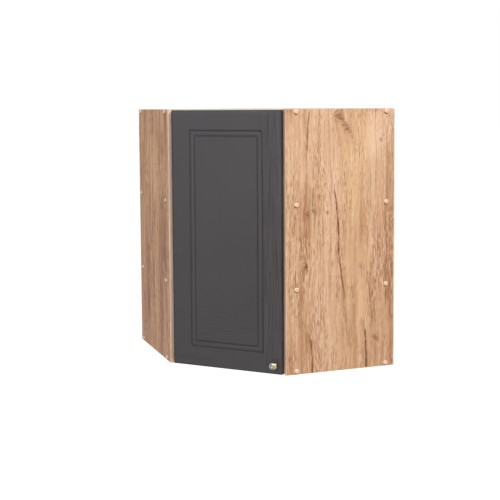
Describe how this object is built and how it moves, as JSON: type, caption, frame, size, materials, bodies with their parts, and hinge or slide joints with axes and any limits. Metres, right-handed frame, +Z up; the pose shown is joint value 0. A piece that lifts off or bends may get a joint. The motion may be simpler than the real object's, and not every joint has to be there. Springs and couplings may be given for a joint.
{
  "type": "corner wall cabinet",
  "caption": "Five-sided corner wall cabinet with shelves behind a milled diagonal door on concealed hinges, for hanging on two walls that meet at a right angle.",
  "frame": {"origin": "the room corner at the cabinet's underside, where the planes of both walls meet", "axes": "+Z up along the room corner, +Y square into the wall behind the left end panel, +X square into the wall behind the right end panel; the door faces -X -Y"},
  "size_m": [0.5834, 0.5834, 0.72],
  "materials": {
    "oak_board": "laminated board in a warm oak decor, vertical grain",
    "oak_edge": "edge band in the oak decor",
    "cream_board": "laminated board, cream",
    "cream_edge": "edge band, cream",
    "back_fibreboard": "thin fibreboard, pale lacquer inside, bare brown behind",
    "door_film": "milled fibreboard under a matt graphite film",
    "knob_metal": "satin pale nickel over brass",
    "cap_plastic": "moulded plastic in the colour of the oak decor",
    "zinc_screws": "zinc plated",
    "nail_steel": "bright wire nail",
    "hanger_steel": "zinc plated sheet",
    "hinge_nickel": "nickel plated pressed steel",
    "pin_steel": "ground steel pin",
    "buffer_soft": "clear soft bumper"
  },
  "bodies": {
    "carcass": {"side_panel_left": "oak_board", "side_panel_right": "oak_board", "edge_band_side_left": "oak_edge", "edge_band_side_right": "oak_edge", "top_panel": "cream_board", "bottom_panel": "cream_board", "shelf_lower": "cream_board", "shelf_upper": "cream_board", "edge_band_top_panel": "cream_edge", "edge_band_bottom_panel": "cream_edge", "edge_band_shelf_lower": "cream_edge", "edge_band_shelf_upper": "cream_edge", "back_panel_left": "back_fibreboard", "back_panel_right": "back_fibreboard", "screw_caps_left": "cap_plastic", "screw_caps_right": "cap_plastic", "assembly_screws_left": "zinc_screws", "assembly_screws_right": "zinc_screws", "hanger_screws_left": "zinc_screws", "hanger_screws_right": "zinc_screws", "hinge_plate_screws": "zinc_screws", "hinge_adjusting_screws": "zinc_screws", "back_nails_left": "nail_steel", "back_nails_right": "nail_steel", "hanger_plate_left": "hanger_steel", "hanger_plate_right": "hanger_steel", "hinge_plate_lower": "hinge_nickel", "hinge_plate_upper": "hinge_nickel", "hinge_arm_lower": "hinge_nickel", "hinge_arm_upper": "hinge_nickel"},
    "door": {"door_panel": "door_film", "door_knob": "knob_metal", "knob_screw": "zinc_screws", "door_buffers": "buffer_soft", "hinge_cup_lower": "hinge_nickel", "hinge_cup_upper": "hinge_nickel", "hinge_pin_lower": "pin_steel", "hinge_pin_upper": "pin_steel", "hinge_cup_screws": "zinc_screws"}
  },
  "joints": [
    {"name": "door_swing", "type": "hinge", "parent": "carcass", "child": "door", "pos_m": [-0.56168, -0.34291, 0.36], "axis": [0, 0, -1], "range_deg": [0, 95]}
  ]
}
